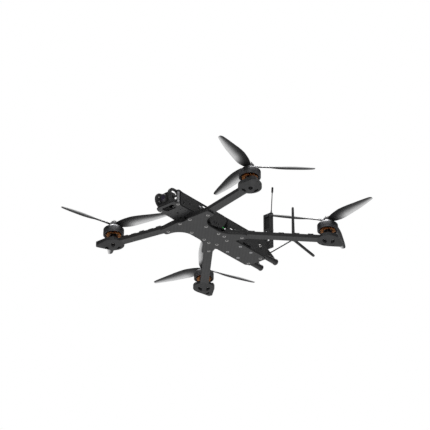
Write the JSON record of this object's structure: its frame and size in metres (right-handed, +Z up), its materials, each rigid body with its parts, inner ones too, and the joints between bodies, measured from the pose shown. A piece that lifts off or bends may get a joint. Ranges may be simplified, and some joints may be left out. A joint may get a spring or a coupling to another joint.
{
  "type": "quadcopter drone",
  "caption": "Carbon sandwich-frame quadcopter with three-blade propellers, motor guards, tilting nose camera and tail antennas.",
  "frame": {"origin": "on the underside of the bottom plate, under the centre of the four motors", "axes": "+Z up along the motor shafts, -Y towards the camera, +X to the aircraft's left"},
  "size_m": [0.4675, 0.4431, 0.1432],
  "materials": {
    "carbon": "woven carbon fibre laminate, satin",
    "printed_tpu": "matte printed flexible plastic",
    "bright_aluminium": "satin",
    "motor_grey": "satin anodised",
    "copper": "enamelled copper wire",
    "smoke_blade": "smoky translucent polycarbonate",
    "steel": "bright screws",
    "camera_black": "fine matte",
    "lens": "coated glass",
    "circuit_board": "solder mask",
    "heat_sink": "anodised grey",
    "capacitor_sleeve": "shrink sleeve",
    "led_green": "clear green",
    "antenna_black": "matte",
    "wire_sleeve": "braided sleeve"
  },
  "bodies": {
    "airframe": {"bottom_plate": "carbon", "middle_plate": "carbon", "top_plate": "carbon", "posts": "bright_aluminium", "plate_spacers": "printed_tpu", "arm_front_left": "carbon", "arm_front_right": "carbon", "arm_rear_left": "carbon", "arm_rear_right": "carbon", "guard_front_left": "printed_tpu", "guard_front_right": "printed_tpu", "guard_rear_left": "printed_tpu", "guard_rear_right": "printed_tpu", "motor_base_front_left": "motor_grey", "motor_base_front_right": "motor_grey", "motor_base_rear_left": "motor_grey", "motor_base_rear_right": "motor_grey", "stator_windings": "copper", "side_panel_front_left": "printed_tpu", "side_panel_front_right": "printed_tpu", "side_pod_left": "printed_tpu", "side_pod_right": "printed_tpu", "side_panel_rear_left": "printed_tpu", "side_panel_rear_right": "printed_tpu", "tail_mount": "printed_tpu", "tail_tubes": "printed_tpu", "camera_plate_left": "printed_tpu", "camera_plate_right": "printed_tpu", "camera_cross_bars": "printed_tpu", "flight_controller": "circuit_board", "speed_controller": "circuit_board", "stack_bolts": "steel", "video_transmitter": "heat_sink", "capacitor": "capacitor_sleeve", "radio_receiver": "circuit_board", "status_led": "led_green", "antenna_mast": "printed_tpu", "mast_module": "heat_sink", "whip_antenna": "antenna_black", "t_antenna": "antenna_black", "press_nuts": "steel", "plate_screws": "steel", "motor_screws": "steel", "arm_wires": "wire_sleeve"},
    "camera": {"camera_housing": "camera_black", "lens_barrel": "camera_black", "lens_glass": "lens", "camera_screws": "steel"},
    "rotor_front_left": {"bell_front_left": "motor_grey", "prop_front_left": "smoke_blade", "nut_front_left": "steel"},
    "rotor_front_right": {"bell_front_right": "motor_grey", "prop_front_right": "smoke_blade", "nut_front_right": "steel"},
    "rotor_rear_left": {"bell_rear_left": "motor_grey", "prop_rear_left": "smoke_blade", "nut_rear_left": "steel"},
    "rotor_rear_right": {"bell_rear_right": "motor_grey", "prop_rear_right": "smoke_blade", "nut_rear_right": "steel"}
  },
  "joints": [
    {"name": "spin_front_left", "type": "hinge", "parent": "airframe", "child": "rotor_front_left", "pos_m": [0.1443, -0.1063, 0.0363], "axis": [0, 0, 1], "continuous": true},
    {"name": "spin_front_right", "type": "hinge", "parent": "airframe", "child": "rotor_front_right", "pos_m": [-0.1443, -0.1063, 0.0363], "axis": [0, 0, 1], "continuous": true},
    {"name": "spin_rear_left", "type": "hinge", "parent": "airframe", "child": "rotor_rear_left", "pos_m": [0.133, 0.1063, 0.0363], "axis": [0, 0, 1], "continuous": true},
    {"name": "spin_rear_right", "type": "hinge", "parent": "airframe", "child": "rotor_rear_right", "pos_m": [-0.133, 0.1063, 0.0363], "axis": [0, 0, 1], "continuous": true},
    {"name": "camera_tilt", "type": "hinge", "parent": "airframe", "child": "camera", "pos_m": [0, -0.135, 0.0255], "axis": [1, 0, 0], "range_deg": [-46, 3]}
  ]
}
